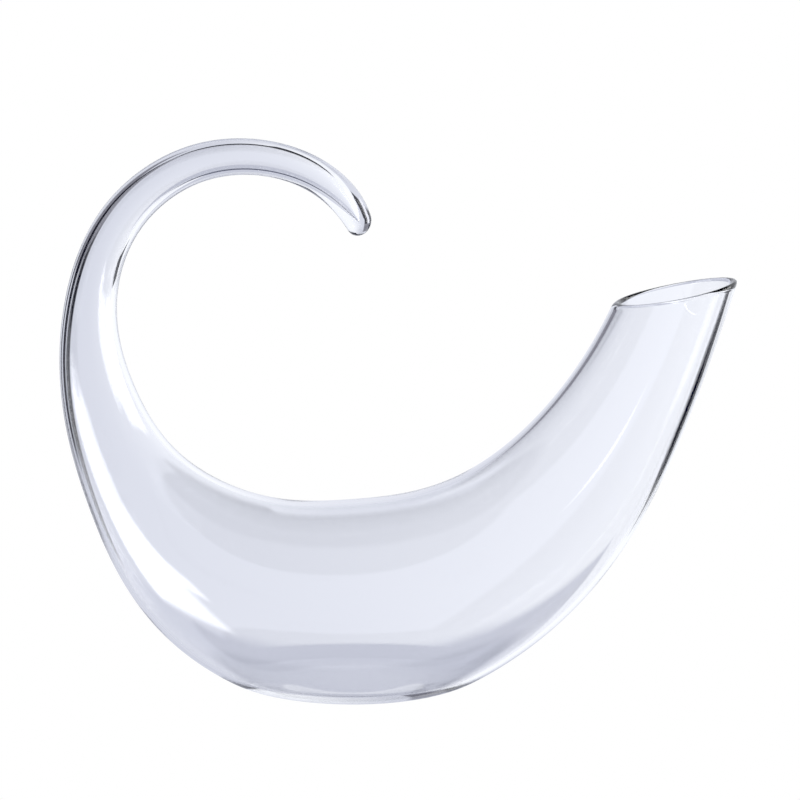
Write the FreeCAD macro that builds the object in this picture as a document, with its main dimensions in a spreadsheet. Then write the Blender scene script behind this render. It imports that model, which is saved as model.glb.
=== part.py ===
import FreeCAD, Part
import math
import os

# A wine decanter of blown glass, curled like a horn.
#
# One hollow tube of glass runs anticlockwise, seen from the front, about the curl centre, an axis along Y.
# It starts at a closed tip, arches over the top and down the back as a slender handle, swells into the
# bowl, which stands on a flattened foot, and narrows upwards into the open spout.
#
# Every station is a round section of that tube, one each 30 degrees about the curl centre.  Its reach
# is the distance from the curl centre to the section's centre, and its wall is the thickness of the glass.
#
# Origin: the centre of the flat face that it stands on.  +Z is up and +X is towards the spout.

SIZES = {
    "curl_centre_x": -39.0,
    "curl_centre_z": 164.5,
    "start_angle": 50.0,
    "step_angle": 30.0,
    "bead_radius": 7.1,  # the closing bead, a little fatter than the tube that it ends
    "mouth_x": 145.5,  # middle of the rim
    "mouth_z": 184.2,
    "mouth_slope": 11.5,
    "lip_depth": 7.0,
    "lip_rounding": 0.7,
    "foot_thickness": 4.5,
    "foot_depth": 9.0,
    "heel_rounding": 14.0,
    "tip_seam_angle": 60.0,
    "handle_seam_angle": 215.0,
    "spout_seam_angle": 333.0,
    "spout_end_angle": 375.0,
    "reach_limit": 320.0,  # cutting blocks and wedges are this long, past every part of the glass
    "half_width": 70.0,  # and this wide to each side, wider than the bowl
}

# name, reach, outer radius, wall
STATIONS = [
    ("tip", 67.5, 6.9, 5.4),
    ("hook", 78.0, 7.7, 2.8),
    ("crown", 82.0, 8.4, 2.8),
    ("nape", 81.0, 9.6, 2.7),
    ("back", 77.5, 11.7, 2.5),
    ("waist", 78.5, 16.7, 2.4),
    ("hip", 89.0, 24.4, 2.4),
    ("rump", 110.5, 39.9, 2.4),
    ("belly", 132.5, 48.8, 2.4),
    ("chest", 149.0, 40.2, 2.5),
    ("neck", 167.5, 28.1, 2.8),
    ("brim", 213.0, 25.6, 3.5),
]

doc = FreeCAD.newDocument("wine_decanter")
sheet = doc.addObject("Spreadsheet::Sheet", "Sizes")


def fill_sheet():
    cells = dict(SIZES)
    for name, reach, radius, wall in STATIONS:
        cells[f"{name}_reach"] = reach
        cells[f"{name}_radius"] = radius
        cells[f"{name}_wall"] = wall
    for row, (alias, value) in enumerate(cells.items(), start=1):
        sheet.set(f"A{row}", alias)
        sheet.set(f"B{row}", str(value))
        sheet.setAlias(f"B{row}", alias)
    doc.recompute()


# ---- Making and placing objects of the document ----


def make(kind, name, **sizes):
    """Add one object and bind its sizes to expressions."""
    thing = doc.addObject(kind, name)
    for size, expression in sizes.items():
        thing.setExpression(size, expression)
    return thing


def put(thing, x="0", y="0", z="0", turn="0"):
    """Place a thing: x, y and z of its origin, and its turn about the Y axis in degrees."""
    spot = f"create(<<vector>>; {x}; {y}; {z})"
    rotation = f"create(<<rotation>>; create(<<vector>>; 0; 1; 0); {turn})"
    thing.setExpression("Placement", f"create(<<placement>>; {spot}; {rotation})")


def combine(kind, name, base, tool):
    """Part::Cut, Part::Common or Part::Fuse of two objects."""
    piece = doc.addObject(kind, name)
    piece.Base = base
    piece.Tool = tool
    return piece


# ---- The tube ----


def station_centre(angle, reach):
    x = sheet.curl_centre_x + reach * math.cos(angle)
    z = sheet.curl_centre_z + reach * math.sin(angle)
    return FreeCAD.Vector(x, 0, z)


def station_sides(angles, reaches):
    """For each station, the unit vector across the tube that points to the inside of the curl."""
    sides = []
    for index, angle in enumerate(angles):
        before = max(index - 1, 0)
        after = min(index + 1, len(angles) - 1)
        rise = (reaches[after] - reaches[before]) / (angles[after] - angles[before])
        heading = angle + math.pi / 2 - math.atan2(rise, reaches[index])
        sides.append(FreeCAD.Vector(-math.sin(heading), 0, math.cos(heading)))
    return sides


def smooth_line(points):
    """A cubic curve through one point for each station."""
    line = Part.BSplineCurve()
    line.interpolate(Points=points, Parameters=[float(number) for number in range(len(points))])
    return line


def tube_solid(radii):
    """The solid tube with round sections of these radii at the stations.

    Its skin is one exact surface: a circle, as four quadratic arcs, carried along three smooth lines.
    One line is the middle of the tube, one its half-thickness in the plane of the curl and one in Y.
    """
    count = len(STATIONS)
    angles = [math.radians(sheet.start_angle + number * sheet.step_angle) for number in range(count)]
    reaches = [sheet.get(f"{station[0]}_reach") for station in STATIONS]
    sides = station_sides(angles, reaches)
    middle = smooth_line([station_centre(angle, reach) for angle, reach in zip(angles, reaches)])
    across = smooth_line([side * radius for side, radius in zip(sides, radii)])
    along_y = smooth_line([FreeCAD.Vector(0, radius, 0) for radius in radii])

    # the circle starts on the inside of the curl, where no block cuts the seam of the skin
    corners = [(1, 0), (1, 1), (0, 1), (-1, 1), (-1, 0), (-1, -1), (0, -1), (1, -1), (1, 0)]
    weights = [math.sqrt(0.5) if 0 not in corner else 1.0 for corner in corners]
    lines = list(zip(middle.getPoles(), across.getPoles(), along_y.getPoles()))
    skin = Part.BSplineSurface()
    skin.buildFromPolesMultsKnots(
        [[centre + side * a + width * b for centre, side, width in lines] for a, b in corners],
        [3, 2, 2, 2, 3],
        middle.getMultiplicities(),
        [0.0, 1.0, 2.0, 3.0, 4.0],
        middle.getKnots(),
        False,
        False,
        2,
        middle.Degree,
        [[weight] * len(lines) for weight in weights],
    )
    side_face = skin.toShape()
    rings = [Part.Wire(edge) for edge in side_face.Edges if edge.isClosed()]
    ends = [Part.Face(ring) for ring in rings]
    shell = Part.Shell([side_face] + ends)
    shell.sewShape()
    return Part.Solid(shell)


def make_tube(name, radii):
    tube = doc.addObject("Part::Feature", name)
    tube.Shape = tube_solid(radii)
    return tube


# ---- Blocks and wedges that trim and divide the glass ----


def make_block(name, x, z, height, turn="0"):
    """A block as wide as everything, that stands on the point x, z and reaches far in +X."""
    block = make(
        "Part::Box", name, Length="Sizes.reach_limit", Width="2 * Sizes.half_width", Height=height
    )
    put(block, x=x, y="-Sizes.half_width", z=z, turn=turn)
    return block


def make_mouth_block(name, start, height):
    """A block parallel to the rim plane, on the spout's side, that begins at start above that plane."""
    slope = "Sizes.mouth_slope"
    return make_block(
        name,
        x=f"Sizes.mouth_x / 2 * (2 - cos({slope})) - {start} * sin({slope})",
        z=f"Sizes.mouth_z - Sizes.mouth_x / 2 * sin({slope}) + {start} * cos({slope})",
        height=height,
        turn=f"-{slope}",
    )


def make_wedge(name, first_angle, last_angle):
    """A slice of a wide cylinder about the curl centre, between two angles about it."""
    wedge = make(
        "Part::Cylinder",
        name,
        Radius="Sizes.reach_limit",
        Height="2 * Sizes.half_width",
        Angle=f"({last_angle}) - ({first_angle})",
    )
    spot = "create(<<vector>>; Sizes.curl_centre_x; Sizes.half_width; Sizes.curl_centre_z)"
    lay_down = "create(<<rotation>>; create(<<vector>>; 1; 0; 0); 90)"
    begin = f"create(<<rotation>>; create(<<vector>>; 0; 1; 0); -({first_angle}))"
    wedge.setExpression("Placement", f"create(<<placement>>; {spot}; {begin} * {lay_down})")
    return wedge


def edges_on_plane(shape, point, normal):
    """Numbers of the edges that lie wholly in the plane through point."""
    found = []
    for number, edge in enumerate(shape.Edges, start=1):
        if edge.Degenerated:
            continue
        if all(abs((spot - point).dot(normal)) < 0.01 for spot in edge.discretize(9)):
            found.append(number)
    return found


def round_edges(name, base, numbers, radius):
    piece = doc.addObject("Part::Fillet", name)
    piece.Base = base
    piece.Edges = [(number, radius, radius) for number in numbers]
    return piece


# ---- The glass as a whole ----


def make_closed_tube():
    """The outer tube with the bead that closes its thin end."""
    outer_tube = make_tube("outer_tube", [sheet.get(f"{name}_radius") for name, *rest in STATIONS])
    bead = make("Part::Sphere", "bead", Radius="Sizes.bead_radius")
    put(
        bead,
        x="Sizes.curl_centre_x + Sizes.tip_reach * cos(Sizes.start_angle)",
        z="Sizes.curl_centre_z + Sizes.tip_reach * sin(Sizes.start_angle)",
    )
    return combine("Part::Fuse", "closed_tube", outer_tube, bead)


def make_glass():
    """The whole hollow vessel, flat and rounded at the foot and open at the slanted mouth."""
    middle = "-Sizes.reach_limit / 2"
    ground = make_block("ground", x=middle, z="-Sizes.half_width", height="Sizes.half_width")
    floor = make_block(
        "floor", x=middle, z="-Sizes.half_width", height="Sizes.half_width + Sizes.foot_thickness"
    )
    above_mouth = make_mouth_block("above_mouth", "0", "Sizes.half_width")

    standing = combine("Part::Cut", "standing", make_closed_tube(), ground)
    doc.recompute()
    heel_edges = edges_on_plane(standing.Shape, FreeCAD.Vector(0, 0, 0), FreeCAD.Vector(0, 0, 1))
    heeled = round_edges("heeled", standing, heel_edges, sheet.heel_rounding)
    body = combine("Part::Cut", "body", heeled, above_mouth)

    inner_radii = [sheet.get(f"{name}_radius") - sheet.get(f"{name}_wall") for name, *rest in STATIONS]
    inner_tube = make_tube("inner_tube", inner_radii)
    cavity = combine("Part::Cut", "cavity", inner_tube, floor)
    return combine("Part::Cut", "glass", body, cavity)


# ---- The sections of the glass, each a node of its own ----


def divide(glass):
    """Divide the glass where the glassmaker's shapes meet, so that its pieces touch face to face."""
    tip_wedge = make_wedge("tip_wedge", "Sizes.spout_end_angle - 360", "Sizes.tip_seam_angle")
    handle_wedge = make_wedge("handle_wedge", "Sizes.tip_seam_angle", "Sizes.handle_seam_angle")
    bowl_wedge = make_wedge("bowl_wedge", "Sizes.handle_seam_angle", "Sizes.spout_seam_angle")
    spout_wedge = make_wedge("spout_wedge", "Sizes.spout_seam_angle", "Sizes.spout_end_angle")
    lip_block = make_mouth_block("lip_block", "-Sizes.lip_depth", "2 * Sizes.lip_depth")
    foot_block = make_block(
        "foot_block", x="-Sizes.reach_limit / 2", z="-Sizes.foot_depth", height="2 * Sizes.foot_depth"
    )
    spout_and_lip = combine("Part::Common", "spout_and_lip", glass, spout_wedge)
    bowl_and_foot = combine("Part::Common", "bowl_and_foot", glass, bowl_wedge)
    sharp_lip = combine("Part::Common", "sharp_lip", spout_and_lip, lip_block)
    return [
        polish(sharp_lip),
        combine("Part::Cut", "spout", spout_and_lip, lip_block),
        combine("Part::Cut", "bowl", bowl_and_foot, foot_block),
        combine("Part::Common", "foot", bowl_and_foot, foot_block),
        combine("Part::Common", "tail_handle", glass, handle_wedge),
        combine("Part::Common", "tail_tip", glass, tip_wedge),
    ]


def polish(sharp_lip):
    """Round the two edges of the rim, as a flame does."""
    doc.recompute()
    slope = math.radians(sheet.mouth_slope)
    normal = FreeCAD.Vector(-math.sin(slope), 0, math.cos(slope))
    middle = FreeCAD.Vector(sheet.mouth_x, 0, sheet.mouth_z)
    rim_edges = edges_on_plane(sharp_lip.Shape, middle, normal)
    return round_edges("pouring_lip", sharp_lip, rim_edges, sheet.lip_rounding)


def check_and_write(pieces):
    doc.recompute()
    for thing in doc.Objects:
        if "Invalid" in thing.State or "Error" in thing.State:
            raise RuntimeError(f"{thing.Name} failed: {thing.State}")
    os.makedirs("parts", exist_ok=True)
    for piece in pieces:
        piece.Label = piece.Name
        shape = piece.Shape
        if shape.isNull() or not shape.isValid():
            raise RuntimeError(f"{piece.Label} has no valid shape")
        shape.exportStep(f"parts/{piece.Label}.step")
        print(f"{piece.Label}: {len(shape.Solids)} solid, {shape.Volume / 1000:.1f} ml of glass")


fill_sheet()
glass = make_glass()
pieces = divide(glass)
check_and_write(pieces)
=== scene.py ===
import bmesh
import bpy
import math
import numpy as np
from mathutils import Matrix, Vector


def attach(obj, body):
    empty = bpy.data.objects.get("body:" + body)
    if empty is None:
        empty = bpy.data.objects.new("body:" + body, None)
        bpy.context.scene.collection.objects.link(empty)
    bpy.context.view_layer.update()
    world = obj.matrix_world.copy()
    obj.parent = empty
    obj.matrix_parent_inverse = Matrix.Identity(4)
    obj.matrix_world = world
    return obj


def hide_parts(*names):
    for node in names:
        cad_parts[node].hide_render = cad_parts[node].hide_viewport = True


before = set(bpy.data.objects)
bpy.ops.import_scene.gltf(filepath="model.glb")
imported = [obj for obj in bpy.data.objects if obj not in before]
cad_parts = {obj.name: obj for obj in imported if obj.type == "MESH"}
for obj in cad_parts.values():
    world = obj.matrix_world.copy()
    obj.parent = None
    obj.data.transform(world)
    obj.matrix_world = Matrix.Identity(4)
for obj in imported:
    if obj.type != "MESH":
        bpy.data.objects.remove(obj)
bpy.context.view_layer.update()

# A wine decanter of clear blown glass, curled like a horn.
#
# Clear glass shows every facet, so each CAD section is replaced by a piece that has the same surfaces as
# finer skins with smooth normals.  A skin is a grid of points: rings round the tube, one after another from
# the tip to the rim.  Neighbouring sections share their last and first ring, so no seam shows.

MM = 0.001

# ---- The decanter's sections: the same stations as the CAD model, in millimetres ----

CURL_CENTRE_X = -39.0
CURL_CENTRE_Z = 164.5
START_ANGLE = 50.0
STEP_ANGLE = 30.0
MOUTH_X = 145.5
MOUTH_Z = 184.2
MOUTH_SLOPE = math.radians(11.5)
TIP_SEAM_ANGLE = 60.0
HANDLE_SEAM_ANGLE = 215.0
SPOUT_SEAM_ANGLE = 333.0
LIP_DEPTH = 7.0
FOOT_DEPTH = 9.0
FOOT_THICKNESS = 4.5

TIP_GAP_ANGLE = 20.0  # in the gap between the mouth and the tip, where the angles are counted from
SPOUT_START_X = 60.0  # the rim plane is looked for only past this

# name, reach, outer radius, wall
STATIONS = [
    ("tip", 67.5, 6.9, 5.4),
    ("hook", 78.0, 7.7, 2.8),
    ("crown", 82.0, 8.4, 2.8),
    ("nape", 81.0, 9.6, 2.7),
    ("back", 77.5, 11.7, 2.5),
    ("waist", 78.5, 16.7, 2.4),
    ("hip", 89.0, 24.4, 2.4),
    ("rump", 110.5, 39.9, 2.4),
    ("belly", 132.5, 48.8, 2.4),
    ("chest", 149.0, 40.2, 2.5),
    ("neck", 167.5, 28.1, 2.8),
    ("brim", 213.0, 25.6, 3.5),
]

# ---- What the flame and the bench do to the glass, in millimetres ----

HEEL_BLEND = 7.2  # how softly the foot's flat face runs into the bowl
FLOOR_BLEND = 6.0  # the same inside
RIM_HEIGHT = 1.2  # of the fire-polished rounding of the rim
TIP_DRAW = 0.11  # the closing bead is drawn this much thinner than the tube
TIP_DRAW_LENGTH = 6.0
BORE_CLOSE_LENGTH = 4.0  # the bore closes to a point over about this length

RIM_FULLNESS = 1.25  # how much fuller the rim's rounding is than a half circle
HALF_CIRCLE_PULL = 2 / 3  # of the width: how far a cubic curve is pulled to run like a half circle

# ---- The fineness of the meshes ----

COLUMNS = 144  # points round the tube
SECTION_ROWS = {"tail_tip": 24, "tail_handle": 168, "bowl": 150, "spout": 56, "pouring_lip": 8}
RIM_ROWS = 14  # steps over the rounding of the rim
CAP_ROWS = 14  # rings over the round end of the tip
LENGTH_STEPS = 4000  # along the whole tube, to measure its length
HALVINGS = 40  # of the range of station numbers, to find a crossing
TIP_STEP = 0.01  # of a station number, to find the direction in which the tube leaves the tip
TINY = 1e-7  # metres: a smaller ring is a point, and a point nearer to a cut is on it


def smooth_line(values):
    """The cubic spline through one value for each station, as a function of the station number.

    Its slopes at the two ends come from the four values next to them.
    """
    values = np.asarray(values, dtype=float)
    count = len(values)
    first = (-11 * values[0] + 18 * values[1] - 9 * values[2] + 2 * values[3]) / 6
    last = (11 * values[-1] - 18 * values[-2] + 9 * values[-3] - 2 * values[-4]) / 6
    system = np.eye(count)
    right = np.zeros_like(values)
    right[0], right[-1] = first, last
    for row in range(1, count - 1):
        system[row, row - 1 : row + 2] = 1, 4, 1
        right[row] = 3 * (values[row + 1] - values[row - 1])
    slopes = np.linalg.solve(system, right)

    def value(place):
        low = np.clip(np.floor(place).astype(int), 0, count - 2)
        part = (place - low)[..., None]
        rest = 1 - part
        return (
            rest**2 * (1 + 2 * part) * values[low]
            + part**2 * (3 - 2 * part) * values[low + 1]
            + rest**2 * part * slopes[low]
            - part**2 * rest * slopes[low + 1]
        )

    return value


def station_frames():
    """Centres of the stations and the unit vectors across the tube, in the X-Z plane."""
    angles = np.radians(START_ANGLE + STEP_ANGLE * np.arange(len(STATIONS)))
    reaches = np.array([station[1] for station in STATIONS])
    rise = np.gradient(reaches, math.radians(STEP_ANGLE))
    heading = angles + math.pi / 2 - np.arctan2(rise, reaches)
    centres = np.stack([reaches * np.cos(angles), reaches * np.sin(angles)], axis=1)
    sides = np.stack([-np.sin(heading), np.cos(heading)], axis=1)
    return centres + [CURL_CENTRE_X, CURL_CENTRE_Z], sides


CENTRES, SIDES = station_frames()
MIDDLE = smooth_line(CENTRES)
OUTER_RADII = np.array([station[2] for station in STATIONS])
WALLS = np.array([station[3] for station in STATIONS])
TURNS = np.linspace(0, 2 * math.pi, COLUMNS, endpoint=False)


def length_table():
    """Length along the tube's middle at fine steps of the station number."""
    places = np.linspace(0, len(STATIONS) - 1, LENGTH_STEPS)
    steps = np.linalg.norm(np.diff(MIDDLE(places), axis=0), axis=1)
    return places, np.concatenate([[0], np.cumsum(steps)])


PLACES, LENGTHS = length_table()


class Skin:
    """One skin of the glass: the outer one, or the inner one round the hollow."""

    def __init__(self, radii, swell, floor, blend):
        self.across = smooth_line(SIDES * radii[:, None])
        self.width = smooth_line(radii[:, None])
        self.swell = swell
        self.floor = floor
        self.blend = blend

    def points(self, place, turn):
        """Points of the skin at a station number and a turn round the tube, before it is set down."""
        scale = self.swell(np.interp(place, PLACES, LENGTHS))[..., None]
        middle = MIDDLE(place)
        across = self.across(place) * scale
        width = self.width(place) * scale
        flat = middle + across * np.cos(turn)[..., None]
        return np.stack([flat[..., 0], width[..., 0] * np.sin(turn), flat[..., 1]], axis=-1)

    def set_down(self, points):
        """Flatten the bottom softly, as a bench does to hot glass."""
        height = points[..., 2] - self.floor
        near = np.maximum(self.blend - np.abs(height), 0) / self.blend
        points[..., 2] = self.floor + np.maximum(height, 0) + near**2 * self.blend / 4
        return points

    def crossings(self, measure):
        """For each column, the station number where measure(points) changes from negative to positive."""
        low = np.zeros(COLUMNS)
        high = np.full(COLUMNS, float(len(STATIONS) - 1))
        for _ in range(HALVINGS):
            middle = (low + high) / 2
            beyond = measure(self.points(middle, TURNS)) > 0
            high = np.where(beyond, middle, high)
            low = np.where(beyond, low, middle)
        return (low + high) / 2


def past_angle(degrees):
    """Positive where a point has passed this angle about the curl centre, on its way round the curl."""

    def measure(points):
        angle = np.degrees(np.arctan2(points[..., 2] - CURL_CENTRE_Z, points[..., 0] - CURL_CENTRE_X))
        return (angle - TIP_GAP_ANGLE) % 360 + TIP_GAP_ANGLE - degrees

    return measure


def past_mouth(depth):
    """Positive on the spout where a point is nearer to the rim plane than depth, or past that plane."""

    def measure(points):
        across = (points[..., 2] - MOUTH_Z) * math.cos(MOUTH_SLOPE)
        along = (points[..., 0] - MOUTH_X) * math.sin(MOUTH_SLOPE)
        on_spout = points[..., 0] > SPOUT_START_X
        return np.where(on_spout, across - along + depth, -1)

    return measure


def drawn_tip(length):
    """The outer skin narrows a little towards the closing bead."""
    return 1 - TIP_DRAW * np.exp(-length / TIP_DRAW_LENGTH)


def closing_bore(length):
    """The hollow closes to a point at the tip."""
    return 1 - np.exp(-length / BORE_CLOSE_LENGTH)


OUTER = Skin(OUTER_RADII, drawn_tip, 0.0, HEEL_BLEND)
INNER = Skin(OUTER_RADII - WALLS, closing_bore, FOOT_THICKNESS, FLOOR_BLEND)


# ---- Grids of points, one row for each ring of the tube ----


def skin_grid(skin):
    """Rings of points from the tip to the rim, evenly spaced between the seams of the sections."""
    seams = [
        np.zeros(COLUMNS),
        skin.crossings(past_angle(TIP_SEAM_ANGLE)),
        skin.crossings(past_angle(HANDLE_SEAM_ANGLE)),
        skin.crossings(past_angle(SPOUT_SEAM_ANGLE)),
        skin.crossings(past_mouth(LIP_DEPTH)),
        skin.crossings(past_mouth(RIM_HEIGHT)),
    ]
    blocks = []
    for rows, begin, end in zip(SECTION_ROWS.values(), seams, seams[1:]):
        steps = np.arange(rows)[:, None] / rows
        blocks.append(begin + (end - begin) * steps)
    blocks.append(seams[-1][None])
    places = np.concatenate(blocks)
    return skin.points(places, np.broadcast_to(TURNS, places.shape))


def tip_cap(first_ring):
    """Rings of the round end, from its pole to the ring before the tube's first one."""
    centre = first_ring.mean(axis=0)
    radius = np.linalg.norm(first_ring[0] - centre)
    start = MIDDLE(np.array(TIP_STEP)) - MIDDLE(np.array(0.0))
    forward = np.array([start[0], 0, start[1]]) / np.linalg.norm(start)
    rings = []
    for angle in np.arange(CAP_ROWS) / CAP_ROWS * math.pi / 2:
        rings.append(centre + (first_ring - centre) * math.sin(angle) - forward * radius * math.cos(angle))
    return np.array(rings)


def rim_rings(outer, inner):
    """Rings over the rounded rim, from the outer skin's last ring to the inner skin's."""
    up_outer = outer[-1] - outer[-2]
    up_inner = inner[-1] - inner[-2]
    width = np.linalg.norm(outer[-1] - inner[-1], axis=1, keepdims=True)
    pull = width * HALF_CIRCLE_PULL * RIM_FULLNESS
    up_outer *= pull / np.linalg.norm(up_outer, axis=1, keepdims=True)
    up_inner *= pull / np.linalg.norm(up_inner, axis=1, keepdims=True)
    rings = []
    for part in np.arange(1, RIM_ROWS) / RIM_ROWS:
        rest = 1 - part
        rings.append(
            rest**3 * outer[-1]
            + 3 * rest**2 * part * (outer[-1] + up_outer)
            + 3 * rest * part**2 * (inner[-1] + up_inner)
            + part**3 * inner[-1]
        )
    return np.array(rings)


def grid_normals(grid):
    """Unit normals of a grid of closed rings, away from the glass. Its first and last rings are points."""
    along = np.gradient(grid, axis=0)
    around = np.roll(grid, -1, axis=1) - np.roll(grid, 1, axis=1)
    normals = np.cross(along, around)
    lengths = np.linalg.norm(normals, axis=2, keepdims=True)
    lengths[lengths == 0] = 1  # in a ring that is a point
    normals /= lengths
    for pole, neighbour in ((0, 1), (-1, -2)):
        mean = normals[neighbour].mean(axis=0)
        normals[pole] = mean / np.linalg.norm(mean)
    return normals


def whole_glass():
    """One sheet of rings over the glass: the tip's pole, outer skin, rim, inner skin, end of the bore."""
    outer = skin_grid(OUTER)
    inner = skin_grid(INNER)
    cap = tip_cap(outer[0])
    rim = rim_rings(outer, inner)
    sheet = np.concatenate([cap, OUTER.set_down(outer), rim, INNER.set_down(inner)[::-1]])
    return sheet * MM, grid_normals(sheet)


# ---- Pieces ----


def add_rings(mesh, layer, points, normals):
    """Add a strip of rings to a bmesh, closed round the tube, facing away from the glass."""
    rows = []
    for ring, ring_normals in zip(points, normals):
        if np.ptp(ring, axis=0).max() < TINY:
            pole = mesh.verts.new(ring[0])
            pole[layer] = ring_normals[0]
            rows.append([pole] * len(ring))
            continue
        row = []
        for spot, normal in zip(ring, ring_normals):
            vertex = mesh.verts.new(spot)
            vertex[layer] = normal
            row.append(vertex)
        rows.append(row)
    for lower, upper in zip(rows, rows[1:]):
        for column in range(len(lower)):
            after = (column + 1) % len(lower)
            corners = [lower[column], upper[column], upper[after], lower[after]]
            mesh.faces.new(list(dict.fromkeys(corners)))


def finish_piece(mesh, layer, name, material):
    """Turn a bmesh into a smooth piece that stands for the CAD node of the same name."""
    mesh.verts.index_update()
    normals = [Vector(vertex[layer]).normalized() for vertex in mesh.verts]
    data = bpy.data.meshes.new(name)
    mesh.to_mesh(data)
    mesh.free()
    data.attributes.remove(data.attributes["skin_normal"])
    data.polygons.foreach_set("use_smooth", [True] * len(data.polygons))
    data.normals_split_custom_set_from_vertices(normals)
    data.materials.append(material)
    piece = bpy.data.objects.new(f"glass_{name}", data)
    bpy.context.collection.objects.link(piece)
    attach(piece, "root")
    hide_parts(name)
    return piece


def make_section(name, strips, material, above=None, below=None):
    """A section of the glass from strips of rings: all of it, or what is above or below a level."""
    mesh = bmesh.new()
    layer = mesh.verts.layers.float_vector.new("skin_normal")
    for points, normals in strips:
        add_rings(mesh, layer, points, normals)
    level = above if above is not None else below
    if level is not None:
        bmesh.ops.bisect_plane(
            mesh,
            geom=mesh.verts[:] + mesh.edges[:] + mesh.faces[:],
            dist=TINY,
            plane_co=(0, 0, level),
            plane_no=(0, 0, 1),
            clear_inner=above is not None,
            clear_outer=below is not None,
        )
    return finish_piece(mesh, layer, name, material)


def section_slices(last_row):
    """For each section, its strips of the whole sheet, whose rows run up the outer skin and back inside."""
    strips = {}
    begin = 0
    for name, rows in SECTION_ROWS.items():
        end = begin + rows
        outer_begin = 0 if name == "tail_tip" else CAP_ROWS + begin
        inner_end = last_row - begin + 1
        if name == "pouring_lip":
            strips[name] = [slice(outer_begin, inner_end)]
        else:
            strips[name] = [slice(outer_begin, CAP_ROWS + end + 1), slice(last_row - end, inner_end)]
        begin = end
    return strips


def make_decanter(material):
    """Make every section of the glass. The foot is the part of the bowl's strips below the foot's depth."""
    sheet, normals = whole_glass()
    for name, slices in section_slices(len(sheet) - 1).items():
        strips = [(sheet[rows], normals[rows]) for rows in slices]
        if name == "bowl":
            make_section("bowl", strips, material, above=FOOT_DEPTH * MM)
            make_section("foot", strips, material, below=FOOT_DEPTH * MM)
        else:
            make_section(name, strips, material)


# ---- Materials ----


GLASS_COLOUR = (0.99, 0.993, 1.0, 1)
GLASS_IOR = 1.5
WAVE_SCALE = 26.0  # waves per metre, about 40 mm long
WAVE_STRENGTH = 0.05
WAVE_HEIGHT = 0.002  # metres, at full strength
HAZE_SCALE = 60.0  # patches per metre
HAZE_RANGE = (0.55, 0.8)  # of the patches' noise, from clear to the most haze
MOST_HAZE = 0.02


def glass_material():
    """Clear soda-lime glass, with faint long waves from blowing and patches of the least haze."""
    material = bpy.data.materials.new("clear_glass")
    material.use_nodes = True
    nodes, links = material.node_tree.nodes, material.node_tree.links
    shader = nodes["Principled BSDF"]
    shader.inputs["Base Color"].default_value = GLASS_COLOUR
    shader.inputs["Transmission Weight"].default_value = 1.0
    shader.inputs["IOR"].default_value = GLASS_IOR

    place = nodes.new("ShaderNodeTexCoord")
    waves = nodes.new("ShaderNodeTexNoise")
    waves.inputs["Scale"].default_value = WAVE_SCALE
    waves.inputs["Detail"].default_value = 1.0
    links.new(place.outputs["Object"], waves.inputs["Vector"])
    bump = nodes.new("ShaderNodeBump")
    bump.inputs["Strength"].default_value = WAVE_STRENGTH
    bump.inputs["Distance"].default_value = WAVE_HEIGHT
    links.new(waves.outputs["Fac"], bump.inputs["Height"])
    links.new(bump.outputs["Normal"], shader.inputs["Normal"])

    haze = nodes.new("ShaderNodeTexNoise")
    haze.inputs["Scale"].default_value = HAZE_SCALE
    haze.inputs["Detail"].default_value = 3.0
    links.new(place.outputs["Object"], haze.inputs["Vector"])
    spread = nodes.new("ShaderNodeMapRange")
    spread.inputs["From Min"].default_value = HAZE_RANGE[0]
    spread.inputs["From Max"].default_value = HAZE_RANGE[1]
    spread.inputs["To Min"].default_value = 0.0
    spread.inputs["To Max"].default_value = MOST_HAZE
    links.new(haze.outputs["Fac"], spread.inputs["Value"])
    links.new(spread.outputs["Result"], shader.inputs["Roughness"])
    return material


# ---- Studio ----

# what the glass sees: a pale backdrop, dimmer at the left and brighter at the right
DIM_SIDE = (0.68, 0.70, 0.79)
BRIGHT_SIDE = (0.99, 1.01, 1.07)
BACKDROP_TURN = (-16.0, 16.0)  # azimuths between which the backdrop brightens
BACKDROP_END = (90.0, 180.0)  # azimuths between which it dims again, on its way round the right
WHITE = (1.0, 1.0, 1.0)
TABLE = (0.60, 0.62, 0.72)
SHADED_TABLE = (0.10, 0.11, 0.16)
BLACK = (0.0, 0.0, 0.008)
DARK_GREY = (0.2, 0.2, 0.24)
LAMP = (4.2, 4.2, 4.2)
SOFT_LAMP = (2.6, 2.6, 2.6)

ALL_ROUND = (-300, 300)  # every azimuth, with room for the soft edge

# panels about the object, in degrees: azimuth from +Y towards +X, elevation, soft edge, colour
PANELS = [
    ((-22, 13), (-80, -18.3), 1.2, TABLE),  # the table right behind the foot
    (ALL_ROUND, (-120, -56), 6, SHADED_TABLE),  # the table under the foot
    (ALL_ROUND, (49, 120), 3, BLACK),  # dark ceiling
    ((8, 70), (38, 60), 3, BLACK),  # its lower edge, right
    ((-33, -20.5), (-21, 5), 2, BLACK),  # narrow black card at the edge of the backdrop
    ((-52, -20), (3, 34), 4, DARK_GREY),  # grey card above it
    ((-135, -46), (-20, 57), 6, BLACK),  # large black flag, left
    ((30, 61), (-26, -15.6), 1.2, BLACK),  # low black card, right
    ((-146, -128), (-12, -3), 2.5, LAMP),  # softbox, left front
    ((-140, -102), (-35, -7), 5, LAMP),  # its lower, wider half
    ((64, 104), (-12, 26), 5, LAMP),  # softbox, right
    ((92, 104), (-24, -20), 3, SOFT_LAMP),  # strip light, right
]


# a Mix node has sockets of the same names for numbers and for colours, so the colours' go by place
MIX_FACTOR = 0
MIX_COLOURS = (6, 7)
MIX_RESULT = 2


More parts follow.
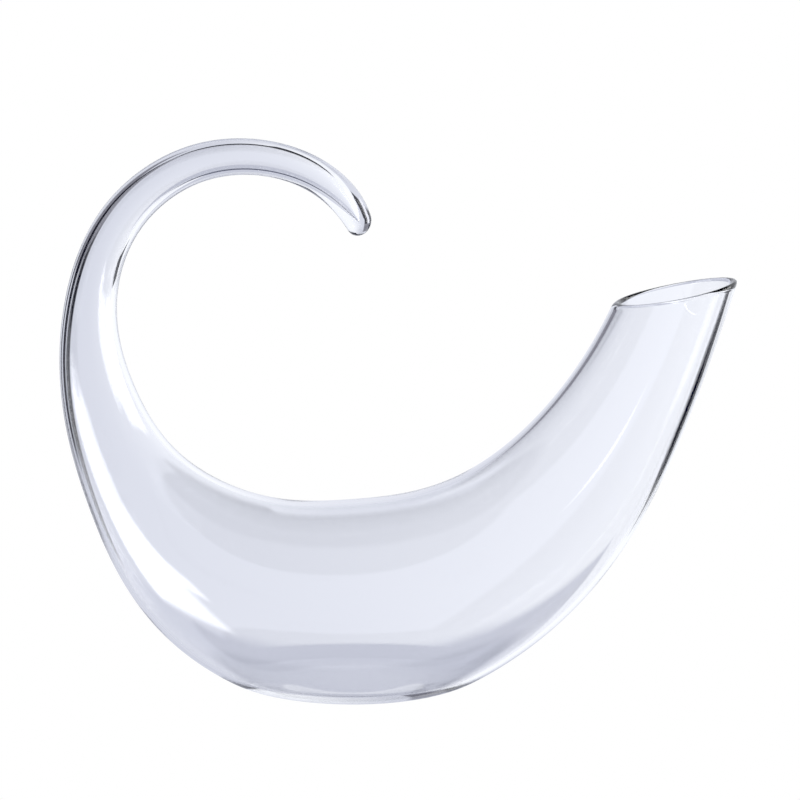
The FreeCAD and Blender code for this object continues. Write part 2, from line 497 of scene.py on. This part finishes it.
class Nodes:
    """Short ways to add nodes to a node tree. A value is a number, or another node's socket."""

    def __init__(self, tree):
        self.tree = tree

    def add(self, kind, **inputs):
        node = self.tree.nodes.new(kind)
        for name, value in inputs.items():
            self.plug(value, node.inputs[name.replace("_", " ")])
        return node

    def plug(self, value, socket):
        if isinstance(value, bpy.types.NodeSocket):
            self.tree.links.new(value, socket)
        else:
            socket.default_value = value

    def math(self, operation, *values):
        node = self.tree.nodes.new("ShaderNodeMath")
        node.operation = operation
        for value, socket in zip(values, node.inputs):
            self.plug(value, socket)
        return node.outputs[0]

    def ramp(self, value, low, high, at_low=0.0, at_high=1.0):
        """Runs smoothly from at_low to at_high while the value goes from low to high."""
        node = self.add(
            "ShaderNodeMapRange",
            Value=value,
            From_Min=low,
            From_Max=high,
            To_Min=at_low,
            To_Max=at_high,
        )
        node.interpolation_type = "SMOOTHSTEP"
        return node.outputs["Result"]

    def window(self, value, span, edge):
        """One inside the span, nothing outside it, with a soft edge."""
        middle = (span[0] + span[1]) / 2
        half = (span[1] - span[0]) / 2
        distance = self.math("ABSOLUTE", self.math("SUBTRACT", value, middle))
        return self.ramp(distance, half - edge / 2, half + edge / 2, 1.0, 0.0)

    def blend(self, factor, first, second):
        """The first colour where the factor is 0, and the second where it is 1."""
        node = self.tree.nodes.new("ShaderNodeMix")
        node.data_type = "RGBA"
        self.plug(factor, node.inputs[MIX_FACTOR])
        for colour, place in zip((first, second), MIX_COLOURS):
            self.plug((*colour, 1) if isinstance(colour, tuple) else colour, node.inputs[place])
        return node.outputs[MIX_RESULT]


def studio_world():
    """White to look at, while the glass sees a pale backdrop with black flags and soft lamps."""
    world = bpy.data.worlds.new("studio")
    world.use_nodes = True
    nodes = Nodes(world.node_tree)
    direction = nodes.add("ShaderNodeTexCoord").outputs["Generated"]
    parts = nodes.add("ShaderNodeSeparateXYZ", Vector=direction).outputs
    azimuth = nodes.math("DEGREES", nodes.math("ARCTAN2", parts["X"], parts["Y"]))
    elevation = nodes.math("DEGREES", nodes.math("ARCSINE", parts["Z"]))

    ahead = nodes.ramp(azimuth, *BACKDROP_TURN)
    behind = nodes.ramp(azimuth, *BACKDROP_END, 1.0, 0.0)
    colour = nodes.blend(nodes.math("MULTIPLY", ahead, behind), DIM_SIDE, BRIGHT_SIDE)
    for azimuths, elevations, edge, panel_colour in PANELS:
        across = nodes.window(azimuth, azimuths, edge)
        upright = nodes.window(elevation, elevations, edge)
        colour = nodes.blend(nodes.math("MULTIPLY", across, upright), colour, panel_colour)
    seen = nodes.add("ShaderNodeLightPath").outputs["Is Camera Ray"]
    colour = nodes.blend(seen, colour, WHITE)
    world.node_tree.links.new(colour, world.node_tree.nodes["Background"].inputs["Color"])
    bpy.context.scene.world = world


FLOOR_LEVEL = -0.0003  # just clear of the foot
FLOOR_REACH = 30.0


def make_floor():
    """A plain white table that gives its own even light, and isn't seen in or through the glass."""
    data = bpy.data.meshes.new("floor")
    corners = [(-1, -1), (1, -1), (1, 1), (-1, 1)]
    spots = [(x * FLOOR_REACH, y * FLOOR_REACH, FLOOR_LEVEL) for x, y in corners]
    data.from_pydata(spots, [], [(0, 1, 2, 3)])
    floor = bpy.data.objects.new("floor", data)
    floor.visible_transmission = False
    floor.visible_glossy = False
    bpy.context.collection.objects.link(floor)
    material = bpy.data.materials.new("white_table")
    material.use_nodes = True
    shader = material.node_tree.nodes["Principled BSDF"]
    shader.inputs["Base Color"].default_value = (0.0, 0.0, 0.0, 1)
    shader.inputs["Specular IOR Level"].default_value = 0.0
    shader.inputs["Emission Color"].default_value = (1, 1, 1, 1)
    shader.inputs["Emission Strength"].default_value = 1.0
    data.materials.append(material)


CAMERA_TARGET = (0.0228, 0.0, 0.1355)
CAMERA_DISTANCE = 1.0
CAMERA_ELEVATION = 10.6  # degrees above the horizontal
CAMERA_LENS = 100.0  # millimetres


def make_camera():
    """A camera in front of the decanter, on the -Y side, that looks down a little."""
    data = bpy.data.cameras.new("camera")
    data.lens = CAMERA_LENS
    camera = bpy.data.objects.new("camera", data)
    height = math.radians(CAMERA_ELEVATION)
    away = Vector((0, -math.cos(height), math.sin(height))) * CAMERA_DISTANCE
    camera.location = Vector(CAMERA_TARGET) + away
    camera.rotation_euler = (math.pi / 2 - height, 0, 0)
    bpy.context.collection.objects.link(camera)
    bpy.context.scene.camera = camera


GLASS_BOUNCES = 24  # enough for light to pass every wall of the glass
MIRROR_BOUNCES = 16


def set_up_scene():
    scene = bpy.context.scene
    scene.view_settings.view_transform = "Standard"
    scene.cycles.max_bounces = GLASS_BOUNCES
    scene.cycles.transmission_bounces = GLASS_BOUNCES
    scene.cycles.glossy_bounces = MIRROR_BOUNCES
    scene.cycles.caustics_reflective = True
    scene.cycles.caustics_refractive = True


make_decanter(glass_material())
studio_world()
make_floor()
make_camera()
set_up_scene()
